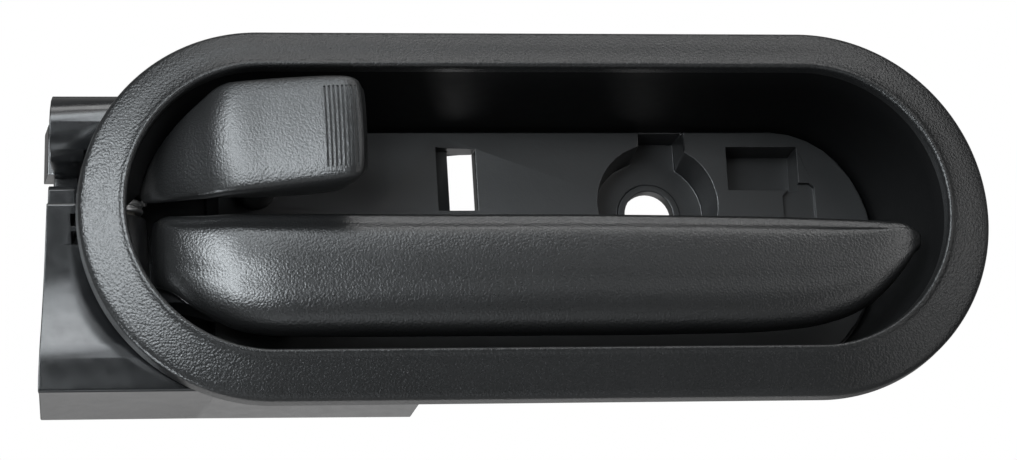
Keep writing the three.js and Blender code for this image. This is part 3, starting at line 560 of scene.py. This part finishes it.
def handle_rings():
    st = finer(HANDLE, spaced(HANDLE, 1.2))
    rings = []
    for i, (x, y, z0, z1, crown, side) in enumerate(st):
        a, b = st[max(0, i - 2)], st[min(len(st) - 1, i + 2)]
        tx, ty = b[0] - a[0], b[1] - a[1]
        l = math.hypot(tx, ty)
        nx, ny = ty / l, -tx / l
        zc, h = (z0 + z1) / 2, (z1 - z0) / 2
        r = min(2.6, h * 0.45, side * 0.6)
        # underside and lower face run into each other in one broad round
        low = []
        for k in range(8):
            t = k / 8 * math.pi / 2
            low.append((-(crown * 0.12 + (side - 0.8 - crown * 0.12) * (1 - math.cos(t) ** 0.8)), -h * (0.2 + 0.8 * math.sin(t) ** 0.92)))
        loop = [(-(side - 0.5), -h + 0.3), (-(side - 1.6), -h * 1.0)] + low[::-1] + [(0, h * 0.1), (-crown * 0.12, h * 0.4), (-crown * 0.42, h * 0.66), (-crown * 0.95, h - r * 0.8),
                (-(crown * 0.95 + r * 0.3), h - r * 0.24), (-(crown * 0.95 + r), h), (-(side - 0.5), h - 0.55)]
        fine = [(n, z) for n, z in catmull(loop, 4)]
        # small rounded back edges, then the flat back
        fine = [(-side, -h + 1.15), (-(side - 0.12), -h + 0.8)] + fine + [(-(side - 0.12), h - 0.8), (-side, h - 1.15)]
        # kept a little clear of the bezel's lip where the root swings past it
        w = smooth(-53, -60, x)
        fine = [(n - 0.45 * w * max(0, 1 + n / side), z * (1 - 0.035 * w)) for n, z in fine]
        rings.append([(x + nx * n, y + ny * n, zc + z) for n, z in fine])
    return rings


def closed_end(rings, inward, steps=4, round_mm=0.5):
    """Rings that close an end with a small round: each is drawn in towards its centre and pushed outwards."""
    out = []
    base = np.array(rings[0])
    c = base.mean(0)
    for k in range(1, steps + 1):
        t = k / steps * math.pi / 2
        d = round_mm * (1 - math.cos(t))
        push = round_mm * math.sin(t) * np.array(inward)
        ring = []
        for p in base:
            v = c - p
            l = np.linalg.norm(v)
            ring.append(tuple(p + v / max(l, 1e-6) * min(d, l * 0.8) + push))
        out.append(ring)
    return out


hr = handle_rings()
end_r = closed_end([hr[-1]], (0.9, 0.45, 0), steps=6, round_mm=1.0)
handle = loft("handle_grip", hr + end_r, 40)
recess_xy = [(-60.6, 20), (-60.6, 10.2), (-56, 7.7), (-48, 5.6), (-20, 4.6), (30, 4.6), (50, 5.2), (55, 6), (55, 20)]
recess_xz = [(-61.5, -13.0), (-56, -16.0), (-50, -17.6), (46.2, -17.6), (55.5, -13.6), (55.5, -4.2), (-61.5, -4.2)]
cutter = make("recess", *prism(recess_xz, "xz", 0, 30), None)
carve(cutter, [prism(recess_xy, "xy", -18, -4)], "INTERSECT")
cv = [tuple((v.co.x * 1000 - OX, v.co.y * 1000 - OY, v.co.z * 1000 - OZ)) for v in cutter.data.vertices]
cf = [tuple(p.vertices) for p in cutter.data.polygons]
bpy.data.objects.remove(cutter)
carve(handle, [(cv, cf), merged([turned([(0, 2.9), (1.5, 2.9), (1.5, 6.0), (0, 6.0)], (x, -10.9), "y", 24) for x in (-24, 27)])])
finish_piece(handle, "handle", "handle", ["pull_handle"], "grained_plastic")


# ---------------------------------------------------------------- lock knob
def knob_rings():
    st = finer(KNOB, spaced(KNOB, 0.9))
    rings = []
    for i, (x, y, z0, z1, crown, side) in enumerate(st):
        a, b = st[max(0, i - 2)], st[min(len(st) - 1, i + 2)]
        tx, ty = b[0] - a[0], b[1] - a[1]
        l = math.hypot(tx, ty)
        w, out = smooth(-62, -54, x), smooth(-46, -33, x)
        nx, ny = mix(ty / l, mix(-0.1, 0.2, out), w), mix(-tx / l, -1, w)
        m = math.hypot(nx, ny)
        nx, ny = nx / m, ny / m
        zc, h = (z0 + z1) / 2, (z1 - z0) / 2
        r = min(1.6, h * 0.4, side * 0.45)
        loop = [(-(side - 0.3), -h + 0.35), (-(crown + r), -h), (-(crown + r * 0.28), -h + r * 0.3), (-crown, -h + r), (-crown * 0.3, -h * 0.5), (0, 0),
                (-crown * 0.3, h * 0.5), (-crown, h - r), (-(crown + r * 0.28), h - r * 0.3), (-(crown + r), h), (-(side - 0.3), h - 0.35)]
        fine = [(n, z) for n, z in catmull(loop, 4)]
        fine = [(-side, -h + 0.8), (-(side - 0.08), -h + 0.5)] + fine + [(-(side - 0.08), h - 0.5), (-side, h - 0.8)]
        rings.append([(x + nx * n, y + ny * n, zc + z) for n, z in fine])
    return rings


kr = knob_rings()
knob = loft("knob_pad", list(reversed(closed_end([kr[0]], (-0.3, 0.3, 0), round_mm=0.3))) + kr + closed_end([kr[-1]], (0.5, 0.2, 0), round_mm=0.4), 40)
core = prism([(-56.2, 12), (-56.2, 3.2), (-54.6, 1.9), (-49, -0.2), (-42, -2.0), (-37, -3.3), (-35.2, -3.2), (-37.4, 12)], "xy", 5.2, 20.6)
front_y = lambda x: float(pchip([k[0] for k in KNOB], [k[1] for k in KNOB], x))
grooves = []
for i in range(8):
    gx = -38.1 + i * 0.74
    gy = front_y(gx) + 0.24
    prof = [(gy - 3, 6.0), (gy + 0.5, 6.0), (gy + 0.17, 8.6), (gy, 13.2), (gy + 0.17, 17.8), (gy + 0.5, 20.4), (gy - 3, 20.4)]
    grooves.append(prism(prof, "yz", gx - 0.19, gx + 0.19))
carve(knob, [core, turned([(0, -2.4), (1.2, -2.4), (1.2, 1.0), (0, 1.0)], (-48, 11.8), "y", 20), merged(grooves)])
finish_piece(knob, "knob", "lock", ["lock_knob"], "grained_plastic")


# ---------------------------------------------------------------- levers, pin, bushes, screws
def plain_lathe(name, profile, centre, axis, key, body, replaces, slot, n=48, sharp=35):
    ob = make(name, *turned(profile, centre, axis, n), sharp)
    return finish_piece(ob, key, body, replaces, slot)


for node, name, body in (("handle_lever", "handle_lever_arm", "handle"), ("lock_lever", "lock_lever_arm", "lock")):
    finish_piece(from_cad(node, name, bevel=0.18, angle=30, segments=2), "lever", body, [node], "lever_plastic")

pin_at = (HINGE_X, HINGE_Y)
plain_lathe("pin_turned", [(0, -23.6), (1.5, -23.6), (1.8, -23.45), (PIN_R, -23.1), (PIN_R, 20.8), (2.15, 21.0), (3.2, 21.0), (3.4, 21.15), (3.4, 21.7), (3.1, 22.05), (2.4, 22.25), (1.2, 22.3), (0, 22.3)],
            pin_at, "z", "pin", "base", ["hinge_pin"], "pin_steel")
plain_lathe("push_on_retainer", [(2.3, -22.1), (2.5, -22.2), (4.5, -22.1), (4.8, -21.8), (4.6, -21.4), (3.4, -21.3), (2.3, -21.4)], pin_at, "z", "leaf", "base", ["pin_retainer"], "pin_steel")


def bush(name, z0, z1, body, node, rin=2.3, rout=3.1):
    c = 0.15
    plain_lathe(name, [(rin, z0 + c), (rin + c, z0), (rout - c, z0), (rout, z0 + c), (rout, z1 - c), (rout - c, z1), (rin + c, z1), (rin, z1 - c)], pin_at, "z", "acetal", body, [node], "acetal")


bush("bush_lower_pin", -20.7, -17.0, "base", "lower_pin_bush")
bush("bush_upper_pin", 16.7, 19.7, "base", "upper_pin_bush")
bush("spacer_sleeve", 3.5, 7.0, "base", "spring_spacer", 2.3, 2.75)
bush("bush_lever_lower", -16.2, -8.6, "handle", "lever_lower_bush")
bush("bush_lever_upper", -5.4, 2.9, "handle", "lever_upper_bush")
bush("bush_lock_lever", 7.6, 15.9, "lock", "lock_lever_bush")


def pad(name, x, z, y0, y1, stem, node):
    plain_lathe(name, [(0, y0), (2.9, y0), (3.4, y0 + 0.15), (3.6, y0 + 0.5), (3.6, y1 - 0.2), (3.45, y1), (1.3, y1), (1.3, stem - 0.4), (0.9, stem), (0, stem)], (x, z), "y", "rubber", "base", [node], "rubber", 36)


pad("stop_pad_handle", -43, -11, 13.2, 15.9, 21.5, "handle_stop_pad")
pad("stop_pad_lock", -46, 12, 15.0, 17.7, 23.0, "lock_stop_pad")


def screw(name, x, z, head0, head1, tip, r, body, node, head=2.9):
    """Pan-head cross-recess tapping screw; the thread is a run of ridges on the shank."""
    shank = head0
    prof = [(0, tip), (r * 0.35, tip + 0.15)]
    pitch, y = max(0.7, r * 0.75), tip + 0.7
    while y < shank - 0.9:
        prof += [(r * 0.8, y), (r, y + pitch * 0.3), (r * 0.8, y + pitch * 0.6)]
        y += pitch
    prof += [(r * 0.8, shank), (head * 0.92, shank), (head, shank + 0.25), (head, shank + 0.5)]
    top = head1 - (shank + 0.5)
    for t in (0.35, 0.7, 0.9, 1.0):
        prof.append((head * math.cos(t * math.pi / 2 * 0.72), shank + 0.5 + top * math.sin(t * math.pi / 2)))
    prof.append((0, head1))
    ob = make(name, *turned(prof, (x, z), "y", 40), 30)
    c, w = head * 0.58, head * 0.11
    deep = head1 - 0.8
    carve(ob, [prism([(x - c, z - w), (x + c, z - w), (x + c, z + w), (x - c, z + w)], "xz", deep, head1 + 1),
               prism([(x - w, z - c), (x + w, z - c), (x + w, z + c), (x - w, z + c)], "xz", deep, head1 + 1)])
    return finish_piece(ob, "screw", body, [node], "screw_steel")


for (bx, bz), node in zip(BEZEL_SCREWS, ("bezel_screw_upper_left", "bezel_screw_upper_right", "bezel_screw_end")):
    screw("tap_" + node, bx, bz, 31.3, 33.2, 16, 1.45, "base", node)
screw("tap_handle_left", -24, -10.9, 7.5, 9.1, 3.2, 1.15, "handle", "handle_screw_left")
screw("tap_handle_right", 27, -10.9, 7.5, 9.1, 3.2, 1.15, "handle", "handle_screw_right")
screw("tap_knob", -48, 11.8, 3.6, 5.2, -2.0, 0.9, "lock", "lock_knob_screw", 1.6)

for node, key, slot in (("detent_leaf_spring", "leaf", "spring_steel"), ("detent_screw", "screw", "screw_steel")):
    finish_piece(from_cad(node, node.replace("detent", "catch"), bevel=0.08, angle=30), key, "base", [node], slot)


# ---------------------------------------------------------------- torsion spring
def tube(name, path, r, n=14):
    p = [np.array(q, float) for q in path]
    rings = []
    t0 = (p[1] - p[0]) / np.linalg.norm(p[1] - p[0])
    u = np.cross(t0, [0, 0, 1.0]) if abs(t0[2]) < 0.9 else np.cross(t0, [1.0, 0, 0])
    u /= np.linalg.norm(u)
    for i, q in enumerate(p):
        t = p[min(i + 1, len(p) - 1)] - p[max(i - 1, 0)]
        t /= np.linalg.norm(t)
        u = u - t * np.dot(u, t)
        u /= np.linalg.norm(u)
        w = np.cross(t, u)
        rings.append([tuple(q + r * (u * math.cos(2 * math.pi * k / n) + w * math.sin(2 * math.pi * k / n))) for k in range(n)])
    return loft(name, rings, 50)


def spring_path():
    R, turns, z0, pitch, n = 3.6, 2, 4.15, 1.14, 52
    a0 = math.radians(150)
    pts = [(HINGE_X - 5.2, HINGE_Y + 3.75, -1.2), (HINGE_X - 5.2, HINGE_Y + 3.75, 1.2), (HINGE_X - 5.0, HINGE_Y + 3.6, 3.0), (HINGE_X - 4.4, HINGE_Y + 3.0, 3.95)]
    for i in range(n + 1):
        a = a0 + turns * 2 * math.pi * i / n + 0.12
        pts.append((HINGE_X + R * math.cos(a), HINGE_Y + R * math.sin(a), z0 + pitch * turns * i / n))
    ze = z0 + pitch * turns
    pts += [(HINGE_X - 4.6, HINGE_Y + 2.6, ze + 0.05), (HINGE_X - 4.6, HINGE_Y + 9.6, ze + 0.1)]
    return catmull(pts, 4)


spring = tube("return_spring_coil", spring_path(), 0.55)
dress(spring, "spring")
P(HINGE_X, HINGE_Y, 6.4)
P(HINGE_X, HINGE_Y, 3.0)
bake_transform(spring)
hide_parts("handle_return_spring")

# CAD nodes still showing, if any, take a finish too
for name, ob in nodes.items():
    if not ob.hide_render:
        dress(ob, "lever")

# ---------------------------------------------------------------- stage
stage_me = bpy.data.meshes.new("backdrop")
stage_me.from_pydata([(-3, -2.2, -0.9), (3, -2.2, -0.9), (3, 2.6, -0.9), (-3, 2.6, -0.9)], [], [(0, 1, 2, 3)])
floor = bpy.data.objects.new("pale_floor", stage_me)
bpy.context.scene.collection.objects.link(floor)
fm, fnt, fb, ftc = new_mat("pale_floor")
fb.inputs["Base Color"].default_value = (0.9, 0.9, 0.9, 1)
fb.inputs["Roughness"].default_value = 0.9
floor.data.materials.append(fm)

# ---------------------------------------------------------------- light
# a pale cove behind the part, a dark room in front of it, and soft panels all round
DARK_FRONT, BEHIND = 0.02, 0.22
world = bpy.data.worlds.new("studio")
bpy.context.scene.world = world
world.use_nodes = True
wn = world.node_tree
wbg = wn.nodes["Background"]
wtc = wn.nodes.new("ShaderNodeTexCoord")
wsep = wn.nodes.new("ShaderNodeSeparateXYZ")
link(wn, wtc.outputs["Generated"], wsep.inputs[0])
lit = ramp(wn, wsep.outputs["Y"], -0.15, 0.3, DARK_FRONT, BEHIND)
path = wn.nodes.new("ShaderNodeLightPath")
seen = wn.nodes.new("ShaderNodeMix")
link(wn, path.outputs["Is Camera Ray"], seen.inputs["Factor"])
link(wn, lit, seen.inputs["A"])
seen.inputs["B"].default_value = 1.0
link(wn, seen.outputs["Result"], wbg.inputs["Strength"])
wbg.inputs["Color"].default_value = (1, 1, 1, 1)


def area(name, where, aim, size, power, colour=(1, 1, 1), size_y=None):
    d = bpy.data.lights.new(name, "AREA")
    d.energy, d.color, d.size = power, colour, size
    if size_y:
        d.shape, d.size_y = "RECTANGLE", size_y
    o = bpy.data.objects.new(name, d)
    bpy.context.scene.collection.objects.link(o)
    o.location = where
    o.rotation_euler = (Vector(aim) - Vector(where)).to_track_quat("-Z", "Y").to_euler()
    o.visible_camera = False
    return o




def panel(name, az, el, dist, w, h, radiance, colour=(1, 1, 1), aim=(0, 0, 0)):
    """A soft panel seen from the part at that azimuth and elevation; its brightness is its radiance."""
    a, e = math.radians(az), math.radians(el)
    where = Vector(aim) + dist * Vector((math.sin(a) * math.cos(e), -math.cos(a) * math.cos(e), math.sin(e)))
    return area(name, where, aim, w, math.pi * w * h * radiance, colour, h)


# soft panels: azimuth, elevation, radiance; the strong ones stand low on the left and are a little cool
for az, el, light in (
    (-85, -45, 18.7), (-34, 28, 6.2), (-20, 10, 6.2), (-34, 10, 4.4), (45, 48, 3.3), (45, 70, 3.0),
    (-6, 70, 3.0), (45, 28, 2.3), (45, 10, 2.2), (-85, -8, 1.8), (-6, -45, 1.6), (45, -8, 1.4),
    (45, -25, 1.1), (10, 48, 1.1), (26, 10, 0.9), (70, 10, 0.8), (-6, 10, 0.4), (-6, 48, 0.4),
):
    panel(f"soft_{az}_{el}", az, el, 0.85, 0.24, 0.24, light, (0.90, 0.96, 1.0) if az < 0 and el < 35 else (1, 1, 1))
# small panels close to the hinge end
for az, el, light in (
    (-35, 0, 5.0),
    (-35, 20, 12.9), (-15, 0, 12.6), (5, 40, 4.9), (-15, 40, 2.3),
):
    panel(f"near_{az}_{el}", az, el, 0.32, 0.10, 0.10, light, (0.90, 0.96, 1.0), (-0.07, 0, -0.005))
# weak panels behind, which edge the part in the other views too
for az, el, light in (
    (0, -150, 0.6),
):
    panel(f"rear_{az}_{el}", az, el, 1.2, 0.8, 0.8, light)

# ---------------------------------------------------------------- camera
cam_data = bpy.data.cameras.new("camera")
cam = bpy.data.objects.new("camera", cam_data)
bpy.context.scene.collection.objects.link(cam)
az, el, roll = math.radians(-12), math.radians(-16), math.radians(-3.561)
back = Vector((math.sin(az) * math.cos(el), -math.cos(az) * math.cos(el), math.sin(el)))
fwd = -back
right = fwd.cross(Vector((0, 0, 1))).normalized()
up = right.cross(fwd)
R = right * math.cos(roll) + up * math.sin(roll)
U = -right * math.sin(roll) + up * math.cos(roll)
aim = P(-6.529, 0, -3.706)
cam.location = aim + back * 0.9
from mathutils import Matrix
cam.rotation_mode = "QUATERNION"
cam.rotation_quaternion = Matrix((R, U, back)).transposed().to_quaternion()
cam_data.sensor_width = 36
cam_data.lens = 5264.2 / 1017 * 36
cam_data.clip_start, cam_data.clip_end = 0.01, 20
bpy.context.scene.camera = cam
bpy.context.scene.view_settings.view_transform = "Standard"
